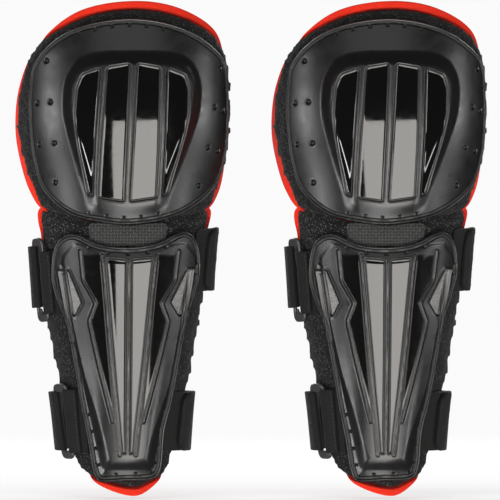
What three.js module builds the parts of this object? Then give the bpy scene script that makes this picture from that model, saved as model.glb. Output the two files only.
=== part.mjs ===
// A pair of off-road motorcycle knee and shin guards, upright as worn, in millimetres.
// +Z runs up the leg, -Y is the front and +X is the viewer's right. The origin lies between the
// two legs, at the height where each guard bends. Both guards are alike and not mirrored.
import * as THREE from "three";

// ---- Driving dimensions ----
const GUARD_SPACING = 218; // between the two guards
const LEG_CENTRE = -5; // the pads reach further round one side of the leg
// The leg inside a guard: height, half-width and depth from its axis to the front.
const LEG_STATIONS = [
  [-230, 39, 41],
  [-160, 47.5, 47.5],
  [-75, 60, 54],
  [0, 68, 58],
  [95, 86, 64],
  [150, 84, 57],
  [210, 76, 45],
];

// Inner and outer face of each layer, measured outwards from the leg.
const LINER = [0, 2];
const FLANGE_LIFT = 7.2; // the liner's border rises to the cover, where both are sewn together
const FOAM = [3, 8.9];
const COVER = [10, 11.4];
const PATCH = [12, 13.2];
const SHELL = [14.2, 17.2];
const INSERT = [17.6, 18.6];

// Elastic straps and the plastic loops that they pass through.
const WEB_THICKNESS = 1.4;
const WEB_ON_PAD = 12.8; // middle of a web that lies on the pad
const LOOP_MIDDLE = 15.7;
const LOOP_BAR = 3; // width of a loop's two long bars
const LOOP_END_BAR = 4;
const LOOP_THICKNESS = 2.6;
const TURN_RADIUS = 2.9; // middle of a web that is folded round a bar
const RETURN_LIFT = 3.4; // from a strap to the layer folded back over it
const TAB_GAP = 0.7; // degrees from a tab's root to each of the two webs that meet there
const HOOK_LIFT = 1.7;
const HOOK_THICKNESS = 1.2;
const WEB_STEP = 8; // degrees between a web's corners as it goes round the leg
const STRAPS = {
  upper: {
    middle: -28, // height of the strap's middle
    rise: 0.1, // how much it climbs towards +X, per mm
    height: 53,
    keeperHeight: 53,
    keeperDrop: 6,
    loopHeight: 72,
    keeperFrom: -45, // the rest are directions round the leg, in degrees from the front
    frontBar: -59,
    rearBar: -71,
    strapFrom: 50,
    padEdge: 69,
    tabFrom: 60,
    tabRoot: 97,
    hookFrom: 64,
    hookTo: 92,
    besideLeg: 10.6, // middle of the strap at the leg's sides
  },
  lower: {
    middle: -158,
    rise: 0,
    height: 50,
    keeperHeight: 54,
    keeperDrop: 0,
    loopHeight: 64,
    keeperFrom: -34,
    frontBar: -51,
    rearBar: -66,
    strapFrom: 36,
    padEdge: 57,
    tabFrom: 49,
    tabRoot: 91,
    hookFrom: 54,
    hookTo: 86,
    besideLeg: 7.3,
  },
};

// The knee plate's raised boss and the shin plate's low keel.
const BOSS = { centreX: 2.5, centreZ: 90, halfHeight: 64, wide: 57, narrow: 35, height: 9 };
const KEEL = { halfWidth: 34, height: 3 };

// Outlines from the front, as [x, z]: bottom, right, top and left side, in that turning order.
const KNEE_LINER_OUTLINE = [
  [[-74, 19], [-40, 11], [-5, 7], [32, 11]],
  [[67, 19], [76, 36], [84, 72], [86, 112], [83, 150]],
  [[73, 174], [44, 192], [5, 198], [-45, 188.5]],
  [[-80, 161], [-93.5, 128], [-97.5, 94], [-94.5, 68], [-84.5, 36]],
];
const SHIN_LINER_OUTLINE = [
  [[-35, -204], [-25.5, -212], [6, -221], [21, -213]],
  [[29, -204], [35, -190], [50, -129], [61, -63], [64, -35]],
  [[65, -16], [30, -10], [-5, -6.5], [-40, -10]],
  [[-73, -16], [-72.5, -40], [-70.5, -72], [-60.5, -123], [-46, -190]],
];
const KNEE_SHELL_OUTLINE = [
  [[-73, 38], [-51, 18], [-25, 11], [3, 8.7], [43, 17]],
  [[72, 38.5], [82, 64], [85, 90], [85, 122], [82, 147]],
  [[71, 160], [45, 175.5], [3, 183], [-45, 175]],
  [[-69, 160], [-82, 142], [-85, 118], [-85, 94], [-81, 62]],
];
const SHIN_SHELL_OUTLINE = [
  [[-30, -202], [-26, -208], [-3, -208], [22, -206]],
  [[27, -200], [31, -165], [37, -141], [50, -72], [61, -30]],
  [[57, -4], [48, 3], [24, -7], [0, -10.4], [-24, -8], [-48, 1]],
  [[-61, -6], [-66, -38], [-53, -78], [-41, -145], [-36, -170]],
];
const BRIDGE_OUTLINE = [
  [[-71, -11], [-40, -6], [-5, -4], [30, -6]],
  [[63, -11], [64, 0]],
  [[63.5, 14.5], [32, 6.8], [-5, 4], [-40, 6.8]],
  [[-72, 14.5], [-73, 0]],
];
const PATCH_OUTLINE = [[[-33, -9], [0, -9.5]], [[32, -9], [32, 0]], [[32, 9], [0, 8]], [[-33, 9], [-33, 0]]];
const INSERT_TRIANGLES = {
  inner: [[-51.5, -31], [-45.5, -67], [-40.5, -57]],
  outer: [[51.5, -31], [36.5, -57], [42.5, -67]],
};

// How far the black cover stays inside the liner's border, and the foam inside the cover.
const LINER_BORDER = { bottom: 0, right: 1.5, top: 6, left: 3 };
const SHIN_LINER_BORDER = { bottom: 6, right: 0.5, top: 0, left: 0.5 };
const FOAM_INSET = { bottom: 18, right: 18, top: 17, left: 17 };

// ---- Finishes ----
const FINISHES = {
  shellPlastic: { color: 0x1d1d1e, roughness: 0.28 },
  insertPlastic: { color: 0xa8a6a2, roughness: 0.5 },
  meshFabric: { color: 0x202022, roughness: 0.95 },
  stretchMesh: { color: 0x28282a, roughness: 0.95 },
  wovenPatch: { color: 0x3b3b39, roughness: 0.85 },
  redLining: { color: 0xf0401f, roughness: 0.9 },
  foam: { color: 0x4a4a4c, roughness: 1 },
  elasticWeb: { color: 0x1e1e1f, roughness: 0.9 },
  loopPlastic: { color: 0x3c3c3d, roughness: 0.45 },
  hookTape: { color: 0x161617, roughness: 0.95 },
};

// ---- The leg, and places on and around it ----
const legSection = new THREE.CubicInterpolant(
  LEG_STATIONS.map(([height]) => height),
  LEG_STATIONS.flatMap(([, halfWidth, depth]) => [halfWidth, depth]),
  2,
);

function halfWidthAt(z) {
  return legSection.evaluate(z)[0];
}

// The point at an angle round the leg from its front, at a distance outside its surface.
function onLeg(angle, z, offset) {
  const [halfWidth, depth] = legSection.evaluate(z);
  const x = LEG_CENTRE + (halfWidth + offset) * Math.sin(angle);
  const y = -(depth + offset) * Math.cos(angle);
  return new THREE.Vector3(x, y, z);
}

// The angle at which a surface of this offset stands at x, seen from the front.
function angleAt(x, z, offset) {
  return Math.asin(THREE.MathUtils.clamp((x - LEG_CENTRE) / (halfWidthAt(z) + offset), -0.99, 0.99));
}

// ---- Outlines ----
class Outline {
  constructor(sides) {
    this.sides = sides;
    const points = sides.flat().map(([x, z]) => new THREE.Vector3(x, 0, z));
    this.curve = new THREE.CatmullRomCurve3(points, true);
    this.count = points.length;
    this.starts = [0];
    for (const side of sides) this.starts.push(this.starts.at(-1) + side.length);
  }

  // A point a share of the way along one side.
  along(side, share) {
    const place = THREE.MathUtils.lerp(this.starts[side], this.starts[side + 1], share);
    return this.curve.getPoint(place / this.count);
  }

  // The outline drawn in across itself, by a distance for each side.
  inset({ bottom, right, top, left }) {
    const distances = [bottom, right, top, left];
    const points = this.sides.flat();
    const moved = (side, k) => {
      const i = this.starts[side] + k;
      const [x, z] = points[i];
      const [beforeX, beforeZ] = points.at(i - 1);
      const [afterX, afterZ] = points[(i + 1) % points.length];
      const inwards = new THREE.Vector2(beforeZ - afterZ, afterX - beforeX).normalize();
      const distance = k === 0 ? (distances.at(side - 1) + distances[side]) / 2 : distances[side];
      return [x + inwards.x * distance, z + inwards.y * distance];
    };
    return new Outline(this.sides.map((corners, side) => corners.map((_, k) => moved(side, k))));
  }
}

// ---- Solids ----
// A closed solid between two faces that share a grid, each given as a function of two shares.
function slab(outerPoint, innerPoint, columns, rows) {
  const positions = [];
  for (const point of [outerPoint, innerPoint])
    for (let row = 0; row <= rows; row++)
      for (let column = 0; column <= columns; column++)
        positions.push(...point(column / columns, row / rows).toArray());

  const outer = (column, row) => row * (columns + 1) + column;
  const inner = (column, row) => outer(column, row) + (columns + 1) * (rows + 1);
  const faces = [];
  const quad = (a, b, c, d) => faces.push(a, b, c, a, c, d);
  for (let row = 0; row < rows; row++)
    for (let column = 0; column < columns; column++) {
      quad(outer(column, row), outer(column + 1, row), outer(column + 1, row + 1), outer(column, row + 1));
      quad(inner(column, row), inner(column, row + 1), inner(column + 1, row + 1), inner(column + 1, row));
    }

  const rim = [];
  for (let column = 0; column < columns; column++) rim.push([column, 0]);
  for (let row = 0; row < rows; row++) rim.push([columns, row]);
  for (let column = columns; column > 0; column--) rim.push([column, rows]);
  for (let row = rows; row > 0; row--) rim.push([0, row]);
  rim.forEach((here, i) => {
    const next = rim[(i + 1) % rim.length];
    quad(outer(...here), inner(...here), inner(...next), outer(...next));
  });

  const geometry = new THREE.BufferGeometry();
  geometry.setAttribute("position", new THREE.Float32BufferAttribute(positions, 3));
  geometry.setIndex(faces);
  return geometry;
}

// A layer wrapped round the leg's front inside an outline. Relief lifts both its faces, and so
// does flange, but only at the outline itself.
function layer(outline, [inside, outside], [columns, rows], { relief = () => 0, flange = 0 } = {}) {
  const unrolled = (side, share) => {
    const { x, z } = outline.along(side, share);
    return new THREE.Vector2(angleAt(x, z, outside + flange), z);
  };
  const place = (u, v) => {
    const bottom = unrolled(0, u).multiplyScalar(1 - v);
    const top = unrolled(2, 1 - u).multiplyScalar(v);
    const left = unrolled(3, 1 - v).multiplyScalar(1 - u);
    const right = unrolled(1, v).multiplyScalar(u);
    const corners = new THREE.Vector2()
      .addScaledVector(unrolled(0, 0), (1 - u) * (1 - v))
      .addScaledVector(unrolled(1, 0), u * (1 - v))
      .addScaledVector(unrolled(2, 0), u * v)
      .addScaledVector(unrolled(3, 0), (1 - u) * v);
    return bottom.add(top).add(left).add(right).sub(corners);
  };
  const face = (offset) => (u, v) => {
    const { x: angle, y: z } = place(u, v);
    const atOutline = [u, v].some((share) => share === 0 || share === 1);
    const lift = relief(onLeg(angle, z, outside).x, z) + (atOutline ? flange : 0);
    return onLeg(angle, z, offset + lift);
  };
  return slab(face(outside), face(inside), columns, rows);
}

function bossRelief(x, z) {
  const low = BOSS.centreZ - BOSS.halfHeight;
  const share = THREE.MathUtils.clamp((z - low) / (BOSS.centreZ + 10 - low), 0, 1);
  const halfWidth = THREE.MathUtils.lerp(BOSS.narrow, BOSS.wide, share);
  const across = Math.abs(x - BOSS.centreX) / halfWidth;
  const along = Math.abs(z - BOSS.centreZ) / BOSS.halfHeight;
  const radius = Math.pow(across ** 4 + along ** 4, 0.25);
  return BOSS.height * (1 - THREE.MathUtils.smoothstep(radius, 0.72, 1));
}

function keelRelief(x) {
  return KEEL.height * (1 - THREE.MathUtils.smoothstep(Math.abs(x), 0, KEEL.halfWidth));
}

// A flat shape drawn as it looks from the front, laid on the leg between two offsets.
function frontPlate(corners, [inside, outside]) {
  const shape = new THREE.Shape(corners.map(([x, z]) => new THREE.Vector2(x, z)));
  const geometry = new THREE.ExtrudeGeometry(shape, { depth: outside - inside, bevelEnabled: false });
  return remapped(geometry, (x, z, lift) => onLeg(angleAt(x, z, outside), z, inside + lift));
}

function remapped(geometry, place) {
  const positions = geometry.getAttribute("position");
  for (let i = 0; i < positions.count; i++) {
    const { x, y, z } = place(positions.getX(i), positions.getY(i), positions.getZ(i));
    positions.setXYZ(i, x, y, z);
  }
  return geometry;
}

// ---- Straps: drawn in plan as [distance round the leg, offset], then stood up along the leg ----
function arcPerDegree(strap) {
  return THREE.MathUtils.degToRad(halfWidthAt(strap.middle) + LOOP_MIDDLE);
}

function strapPoint(strap, arc, z, offset) {
  const angle = THREE.MathUtils.degToRad(arc / arcPerDegree(strap));
  const climb = strap.rise * (halfWidthAt(z) + offset) * Math.sin(angle);
  return onLeg(angle, z + climb, offset);
}

// A strip of even thickness and height along a line of [arc, offset] points.
function web(strap, line, thickness, height, drop = 0) {
  const points = line.map(([arc, offset]) => new THREE.Vector2(arc, offset));
  const low = strap.middle - drop - height / 2;
  const face = (side) => (u, v) => {
    const i = Math.round(u * (points.length - 1));
    const before = points[Math.max(i - 1, 0)];
    const after = points[Math.min(i + 1, points.length - 1)];
    const along = after.clone().sub(before).normalize();
    const outwards = new THREE.Vector2(-along.y, along.x);
    const { x: arc, y: offset } = points[i].clone().addScaledVector(outwards, (side * thickness) / 2);
    return strapPoint(strap, arc, low + v * height, offset);
  };
  return slab(face(1), face(-1), points.length - 1, 1);
}

// The strap's middle between two directions round the leg, or a layer lifted off it.
function lineRoundLeg(strap, from, to, lift = 0) {
  const stations = [
    [strap.strapFrom, WEB_ON_PAD],
    [strap.padEdge, WEB_ON_PAD],
    [90, strap.besideLeg],
    [120, 6],
    [180, 4.5],
    [240, 6],
    [270, strap.besideLeg],
    [360 + strap.rearBar, WEB_ON_PAD],
  ];
  const offsets = new THREE.CubicInterpolant(
    stations.map(([angle]) => angle),
    stations.map(([, offset]) => offset),
    1,
  );
  const steps = Math.ceil((to - from) / WEB_STEP);
  const degree = arcPerDegree(strap);
  return Array.from({ length: steps + 1 }, (_, i) => {
    const angle = THREE.MathUtils.lerp(from, to, i / steps);
    return [angle * degree, offsets.evaluate(angle)[0] + lift];
  });
}

// The middle of a web folded round a bar: from its inner side, past one edge, by a share of a half turn.
function turn(barArc, towards, halfTurns) {
  const steps = Math.round(6 * halfTurns);
  return Array.from({ length: steps + 1 }, (_, i) => {
    const angle = (i / 6) * Math.PI;
    const arc = barArc + towards * TURN_RADIUS * Math.sin(angle);
    return [arc, LOOP_MIDDLE - TURN_RADIUS * Math.cos(angle)];
  });
}

function rearBarArc(strap) {
  return (360 + strap.rearBar) * arcPerDegree(strap);
}

// From the plate's edge, round the back of the leg and half way round the loop's rear bar.
function strapWeb(strap) {
  const round = lineRoundLeg(strap, strap.strapFrom, 356 + strap.rearBar);
  return web(strap, [...round, ...turn(rearBarArc(strap), 1, 0.5)], WEB_THICKNESS, strap.height);
}

// The layer folded back over the strap, from its tab's root to the loop.
function returnWeb(strap) {
  const outerSide = LOOP_MIDDLE + TURN_RADIUS;
  const line = lineRoundLeg(strap, strap.tabRoot + TAB_GAP, 272, RETURN_LIFT);
  line.push([rearBarArc(strap) - 7, outerSide - 0.3]);
  line.push([rearBarArc(strap), outerSide]);
  return web(strap, line, WEB_THICKNESS, strap.height);
}

// The folded layer's free end, which is peeled off the strap.
function tabWeb(strap) {
  const line = lineRoundLeg(strap, strap.tabFrom, strap.tabRoot - TAB_GAP, RETURN_LIFT);
  return web(strap, line, WEB_THICKNESS, strap.height);
}

function hookPatch(strap) {
  const line = lineRoundLeg(strap, strap.hookFrom, strap.hookTo, HOOK_LIFT);
  return web(strap, line, HOOK_THICKNESS, strap.height - 6);
}

function keeperWeb(strap) {
  const degree = arcPerDegree(strap);
  const barArc = strap.frontBar * degree;
  const line = [
    [strap.keeperFrom * degree, WEB_ON_PAD],
    [((strap.keeperFrom + strap.frontBar) / 2) * degree, WEB_ON_PAD],
    ...turn(barArc, -1, 1),
    [barArc + 4, LOOP_MIDDLE + TURN_RADIUS - 0.9],
    [barArc + 9, WEB_ON_PAD + WEB_THICKNESS + 1.2],
  ];
  return web(strap, line, WEB_THICKNESS, strap.keeperHeight, strap.keeperDrop);
}

function rectangle(shape, left, right, bottom, top, radius) {
  shape.moveTo(left + radius, bottom);
  shape.lineTo(right - radius, bottom);
  shape.absarc(right - radius, bottom + radius, radius, -Math.PI / 2, 0);
  shape.absarc(right - radius, top - radius, radius, 0, Math.PI / 2);
  shape.absarc(left + radius, top - radius, radius, Math.PI / 2, Math.PI);
  shape.absarc(left + radius, bottom + radius, radius, Math.PI, 1.5 * Math.PI);
  return shape;
}

function loopRing(strap) {
  const degree = arcPerDegree(strap);
  const left = strap.rearBar * degree - LOOP_BAR / 2;
  const right = strap.frontBar * degree + LOOP_BAR / 2;
  const centre = strap.middle - strap.keeperDrop / 2;
  const bottom = centre - strap.loopHeight / 2;
  const top = centre + strap.loopHeight / 2;
  const ring = rectangle(new THREE.Shape(), left, right, bottom, top, 5);
  const window = [left + LOOP_BAR, right - LOOP_BAR, bottom + LOOP_END_BAR, top - LOOP_END_BAR];
  ring.holes.push(rectangle(new THREE.Path(), ...window, 1.5));
  const settings = { depth: LOOP_THICKNESS, bevelEnabled: false, curveSegments: 3 };
  const low = LOOP_MIDDLE - LOOP_THICKNESS / 2;
  return remapped(new THREE.ExtrudeGeometry(ring, settings), (arc, z, up) => strapPoint(strap, arc, z, low + up));
}

// ---- One guard ----
const outlines = {
  kneeLiner: new Outline(KNEE_LINER_OUTLINE),
  shinLiner: new Outline(SHIN_LINER_OUTLINE),
  kneeShell: new Outline(KNEE_SHELL_OUTLINE),
  shinShell: new Outline(SHIN_SHELL_OUTLINE),
  bridge: new Outline(BRIDGE_OUTLINE),
  patch: new Outline(PATCH_OUTLINE),
};
outlines.kneeCover = outlines.kneeLiner.inset(LINER_BORDER);
outlines.shinCover = outlines.shinLiner.inset(SHIN_LINER_BORDER);
outlines.kneeFoam = outlines.kneeCover.inset(FOAM_INSET);
outlines.shinFoam = outlines.shinCover.inset(FOAM_INSET);

const PAD_GRID = [11, 9];
const SHELL_GRID = [13, 11];
const BRIDGE_GRID = [8, 2];
const PATCH_GRID = [4, 2];

function guardPieces() {
  const sewn = { flange: FLANGE_LIFT };
  const pieces = {
    knee_liner: [layer(outlines.kneeLiner, LINER, PAD_GRID, sewn), "redLining"],
    knee_foam: [layer(outlines.kneeFoam, FOAM, PAD_GRID), "foam"],
    knee_cover: [layer(outlines.kneeCover, COVER, PAD_GRID), "meshFabric"],
    knee_shell: [layer(outlines.kneeShell, SHELL, SHELL_GRID, { relief: bossRelief }), "shellPlastic"],
    flex_lining: [layer(outlines.bridge, LINER, BRIDGE_GRID), "redLining"],
    flex_bridge: [layer(outlines.bridge, [FOAM[0], COVER[1]], BRIDGE_GRID), "stretchMesh"],
    bridge_patch: [layer(outlines.patch, PATCH, PATCH_GRID), "wovenPatch"],
    shin_liner: [layer(outlines.shinLiner, LINER, PAD_GRID, sewn), "redLining"],
    shin_foam: [layer(outlines.shinFoam, FOAM, PAD_GRID), "foam"],
    shin_cover: [layer(outlines.shinCover, COVER, PAD_GRID), "meshFabric"],
    shin_shell: [layer(outlines.shinShell, SHELL, SHELL_GRID, { relief: keelRelief }), "shellPlastic"],
  };
  for (const [side, corners] of Object.entries(INSERT_TRIANGLES))
    pieces[`shin_insert_${side}`] = [frontPlate(corners, INSERT), "insertPlastic"];
  for (const [level, strap] of Object.entries(STRAPS)) {
    pieces[`${level}_keeper`] = [keeperWeb(strap), "elasticWeb"];
    pieces[`${level}_loop`] = [loopRing(strap), "loopPlastic"];
    pieces[`${level}_strap`] = [strapWeb(strap), "elasticWeb"];
    pieces[`${level}_return`] = [returnWeb(strap), "elasticWeb"];
    pieces[`${level}_tab`] = [tabWeb(strap), "elasticWeb"];
    pieces[`${level}_hook`] = [hookPatch(strap), "hookTape"];
  }
  return pieces;
}

function guard(side) {
  const group = new THREE.Group();
  for (const [name, [geometry, finish]] of Object.entries(guardPieces())) {
    const material = new THREE.MeshStandardMaterial({ ...FINISHES[finish], metalness: 0 });
    const mesh = new THREE.Mesh(geometry, material);
    mesh.name = `${side}_${name}`;
    group.add(mesh);
  }
  return group;
}

const pair = new THREE.Group();
const leftGuard = guard("left");
leftGuard.position.x = -GUARD_SPACING / 2;
const rightGuard = guard("right");
rightGuard.position.x = GUARD_SPACING / 2;
pair.add(leftGuard, rightGuard);

export default pair;
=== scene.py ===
"""A pair of off-road knee and shin guards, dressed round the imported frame.

Every shape is worked out for one guard in millimetres, in the unrolled plane of the leg that it
fits round, and then placed on both guards. The leg, outlines and straps repeat the CAD part's.
"""

import math

import bmesh
import bpy
import numpy as np
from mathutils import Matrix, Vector


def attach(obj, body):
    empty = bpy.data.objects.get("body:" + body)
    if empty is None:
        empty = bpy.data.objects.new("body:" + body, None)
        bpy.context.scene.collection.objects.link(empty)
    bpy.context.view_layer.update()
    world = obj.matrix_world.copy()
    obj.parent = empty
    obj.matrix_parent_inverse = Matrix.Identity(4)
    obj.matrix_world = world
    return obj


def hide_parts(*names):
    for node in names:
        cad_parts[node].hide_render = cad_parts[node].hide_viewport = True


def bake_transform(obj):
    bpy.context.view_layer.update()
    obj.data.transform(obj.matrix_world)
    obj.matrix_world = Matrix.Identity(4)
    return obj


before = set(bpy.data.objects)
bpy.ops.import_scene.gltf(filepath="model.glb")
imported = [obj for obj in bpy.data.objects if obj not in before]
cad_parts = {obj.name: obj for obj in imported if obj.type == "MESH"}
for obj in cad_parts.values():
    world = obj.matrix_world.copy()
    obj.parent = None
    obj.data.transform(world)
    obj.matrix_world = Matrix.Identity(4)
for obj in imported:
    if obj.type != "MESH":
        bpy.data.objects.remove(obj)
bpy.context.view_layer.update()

MM = 0.001
GUARDS = {"left": -109, "right": 109}

# ---- The leg, and the layers measured outwards from it ----
LEG_CENTRE = -5
LEG_HEIGHTS = [-230, -160, -75, 0, 95, 150, 210]
LEG_HALF_WIDTHS = [39, 47.5, 60, 68, 86, 84, 76]
LEG_DEPTHS = [41, 47.5, 54, 58, 64, 57, 45]
UNROLLED_AT = 10  # the offset at which lengths round the leg are measured

LINER = [0, 2]
BORDER_LIFT = 7.2  # the liner rises to the pad's edge, where both are sewn together
PAD_TOP = 10.9
BRIDGE_TOP = 11.2
PATCH_TOP = 13.0
SHELL = [14.2, 17.2]
INSERT = [17.6, 18.6]

# ---- Outlines from the front, as [x, z]: bottom, right, top and left side ----
KNEE_LINER_OUTLINE = [
    [[-74, 19], [-40, 11], [-5, 7], [32, 11]],
    [[67, 19], [76, 36], [84, 72], [86, 112], [83, 150]],
    [[73, 174], [44, 192], [5, 198], [-45, 188.5]],
    [[-80, 161], [-93.5, 128], [-97.5, 94], [-94.5, 68], [-84.5, 36]],
]
SHIN_LINER_OUTLINE = [
    [[-35, -204], [-25.5, -212], [6, -221], [21, -213]],
    [[29, -204], [35, -190], [50, -129], [61, -63], [64, -35]],
    [[65, -16], [30, -10], [-5, -6.5], [-40, -10]],
    [[-73, -16], [-72.5, -40], [-70.5, -72], [-60.5, -123], [-46, -190]],
]
KNEE_SHELL_OUTLINE = [
    [[-73, 38], [-51, 18], [-25, 11], [3, 8.7], [43, 17]],
    [[72, 38.5], [82, 64], [85, 90], [85, 122], [82, 147]],
    [[71, 160], [45, 175.5], [3, 183], [-45, 175]],
    [[-69, 160], [-82, 142], [-85, 118], [-85, 94], [-81, 62]],
]
SHIN_SHELL_OUTLINE = [
    [[-30, -202], [-26, -208], [-3, -208], [22, -206]],
    [[27, -200], [31, -165], [37, -141], [50, -72], [61, -30]],
    [[57, -4], [48, 3], [24, -7], [0, -10.4], [-24, -8], [-48, 1]],
    [[-61, -6], [-66, -38], [-53, -78], [-41, -145], [-36, -170]],
]
BRIDGE_OUTLINE = [
    [[-74, -18], [-40, -12], [-5, -9], [30, -12]],
    [[66, -18], [66.5, 0]],
    [[67.5, 21], [32, 13], [-5, 9.5], [-40, 13]],
    [[-75, 21], [-75.5, 0]],
]
BRIDGE_LINING_OUTLINE = [
    [[-73, -18], [-40, -12], [-5, -9], [30, -12]],
    [[66, -18], [67.5, 0]],
    [[70, 23], [32, 19], [-5, 16.5], [-40, 19]],
    [[-78, 23], [-77, 0]],
]
PATCH_OUTLINE = [[[-33, -9], [0, -9.5]], [[32, -9], [32, 0]], [[32, 9], [0, 8]], [[-33, 9], [-33, 0]]]
INSERT_TRIANGLES = {
    "inner": [[-51.5, -31], [-45.5, -67], [-40.5, -57]],
    "outer": [[49.4, -31.5], [36.5, -57], [42.5, -67]],
}
# How far each of the liner's points is drawn in, for the pad's edge and for the lining's own.
KNEE_PAD_BORDER = [3.5, 2, 2, 2, 2.5, 2.5, 0, 0, 0, 3, 6, 6, 5, 0.5, 1, 2.5, 3.5, 4]
KNEE_LINING_BORDER = [2.2, 5.5, 5.5, 5.5, 2.2, 0, 1.5, 2, 2, 0, 0, 0, 0, 1.5, 0, 0, 0, 0]
SHIN_PAD_BORDER = [0, 3.5, 6.5, 4, 0, 0, 0, 0, 0, 0, 0, 0, 0, 0, 0, 0, 0, 0]
SHIN_LINING_BORDER = [0.5, 0, 0, 0, 0.5, 2, 2.5, 2.5, 2.5, 2.5, 0, 0, 0, 2.5, 2.5, 2.5, 2.5, 2]

# ---- Mouldings of the two plates, as [distance from the plate's axis, z] ----
KNEE_AXIS = [-2.2, 0.0444]  # where the axis is at z = 0, and how much it leans per mm
KNEE_BOSS = [
    [-20, 154], [28, 154], [47, 149], [57, 131], [57, 105], [53.5, 91],
    [47.5, 71], [40.5, 49], [34.5, 31], [30, -10], [-20, -10],
]
KNEE_PANELS = [
    [[2.6, 144.8], [21.1, 141.4], [23.9, 31], [2.1, 27.6]],
    [
        [25.9, 141], [40.6, 135.2], [44.1, 124], [45, 104],
        [43.3, 85], [40.5, 68], [33.6, 34.2], [28.1, 31.9],
    ],
]
KNEE_HOLES = [
    [-69.7, 147], [-77.4, 111.4], [-66.3, 112.2], [-75.7, 76.5], [-62.9, 77.4], [-62.1, 44.2],
    [77.4, 140.3], [73.1, 108], [79.9, 105.4], [67.2, 74], [75.7, 71.4], [59.5, 41.7],
]
BOSS_HEIGHT = 9
KNEE_PANEL_DEPTH = 1.5

SHIN_AXIS = [1.0, 0.0103]
SHIN_PANEL_DEPTH = 0.8
PLATEAU_HEIGHT = 2.8
CHEVRON_HEIGHT = 1.1
HOLLOW_DEPTH = 1.6
SHIN_PANEL = [[1.9, -21.3], [19, -19.6], [4.2, -184], [1.6, -185]]
SHIN_PANEL_RIB = [[22.6, -17], [6.4, -186]]
SHIN_CHEVRON = [[41.5, -13.5], [38.7, -38.7], [27.4, -57.5], [32.8, -72.7], [12.3, -158]]
SHIN_FLANK_INNER = [
    [-20, -15], [45, -9], [54.5, -20], [55, -32], [47, -71], [35.5, -119], [12.8, -189], [-20, -192],
]
SHIN_FLANK_OUTER = [
    [-20, -12], [49, -6], [57.5, -18], [58.5, -32], [49, -86],
    [41.5, -113], [22.5, -196], [19, -199], [-20, -199],
]
SHIN_HOLLOW = [[59.5, -24], [54.5, -26], [54, -33], [58.5, -34]]
SHIN_STRIPS = [
    [[-59.5, -31], [-56, -31.5], [-47.6, -89], [-49, -89]],
    [[51.2, -29.5], [54.6, -29.5], [45.2, -89], [43.6, -89]],
]
KEEL = {"flat_to": 16, "half_width": 40, "height": 2}

# ---- Straps and their plastic loops ----
WEB_THICKNESS = 1.4
WEB_ON_PAD = 12.8
LOOP_MIDDLE = 15.7
TURN_RADIUS = 2.9
RETURN_LIFT = 3.4
HOOK_LIFT = 1.7
STRAPS = {
    "upper": {
        "middle": -28, "rise": 0.1, "height": 53, "keeper_height": 53, "keeper_drop": 6,
        "loop_height": 72, "keeper_from": -43, "front_bar": -56.5, "rear_bar": -68, "strap_from": 50,
        "pad_edge": 69, "tab_from": 60, "tab_root": 97, "hook_from": 64, "hook_to": 92, "beside_leg": 8.4,
    },
    "lower": {
        "middle": -158, "rise": 0, "height": 50, "keeper_height": 54, "keeper_drop": 0,
        "loop_height": 64, "keeper_from": -31, "front_bar": -45.5, "rear_bar": -59, "strap_from": 36,
        "pad_edge": 57, "tab_from": 49, "tab_root": 91, "hook_from": 54, "hook_to": 86, "beside_leg": 6.2,
    },
}


# ---- Thread, as [pitch, stitch length, radius] ----
RIM_THREAD = [14.5, 11.5, 0.5]
LINING_THREAD = [3.6, 2.7, 0.3]
PATCH_THREAD = [3.4, 2.5, 0.3]
STRAP_THREAD = [3.2, 2.4, 0.28]
SEAM_FROM_EDGE = 7.5

# ---- The pads, which a cloth simulation fills ----
PAD_VOXEL = 2.4
PAD_PRESSURE = 4
PAD_FRAMES = 20
PAD_MOVES_AT_MOST = 1.6


# ---- Plain mathematics ----
def smoothstep(value, low, high):
    share = np.clip((value - low) / (high - low), 0, 1)
    return share * share * (3 - 2 * share)


def ridge(distance, middle, reach):
    """1 at a distance, falling smoothly to 0 within reach on either side of it."""
    return 1 - smoothstep(np.abs(distance - middle), 0, reach)


def through(stations, values, at):
    """A smooth curve through values at stations, level at both ends."""
    stations, values = np.asarray(stations, float), np.asarray(values, float)
    chords = np.diff(values) / np.diff(stations)
    slopes = np.concatenate([[0], (chords[1:] + chords[:-1]) / 2, [0]])
    i = np.clip(np.searchsorted(stations, at) - 1, 0, len(stations) - 2)
    span = stations[i + 1] - stations[i]
    t = np.clip((at - stations[i]) / span, 0, 1)
    start = (1 + 2 * t) * (1 - t) ** 2 * values[i] + t * (1 - t) ** 2 * span * slopes[i]
    end = t * t * (3 - 2 * t) * values[i + 1] - t * t * (1 - t) * span * slopes[i + 1]
    return start + end


def nearest(line, at):
    """Each place's distance to a line of points, and how far along the line that is."""
    distance = np.full(at.shape[:-1], np.inf)
    along = np.zeros(at.shape[:-1])
    travelled = 0
    for start, end in zip(line[:-1], line[1:]):
        step = end - start
        length = np.linalg.norm(step)
        if length == 0:
            continue
        share = np.clip((at - start) @ step / length**2, 0, 1)
        here = np.linalg.norm(at - start - share[..., None] * step, axis=-1)
        closer = here < distance
        distance[closer] = here[closer]
        along[closer] = travelled + share[closer] * length
        travelled += length
    return distance, along


def inside(corners, at):
    """How far inside a closed shape each place is, and below zero outside it."""
    ring = np.array([*corners, corners[0]], float)
    distance, _ = nearest(ring, at)
    within = np.zeros(at.shape[:-1], bool)
    for (x1, z1), (x2, z2) in zip(ring[:-1], ring[1:]):
        if z1 == z2:
            continue
        spans = (z1 > at[..., 1]) != (z2 > at[..., 1])
        crossing = x1 + (at[..., 1] - z1) / (z2 - z1) * (x2 - x1)
        within ^= spans & (crossing > at[..., 0])
    return np.where(within, distance, -distance)


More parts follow.
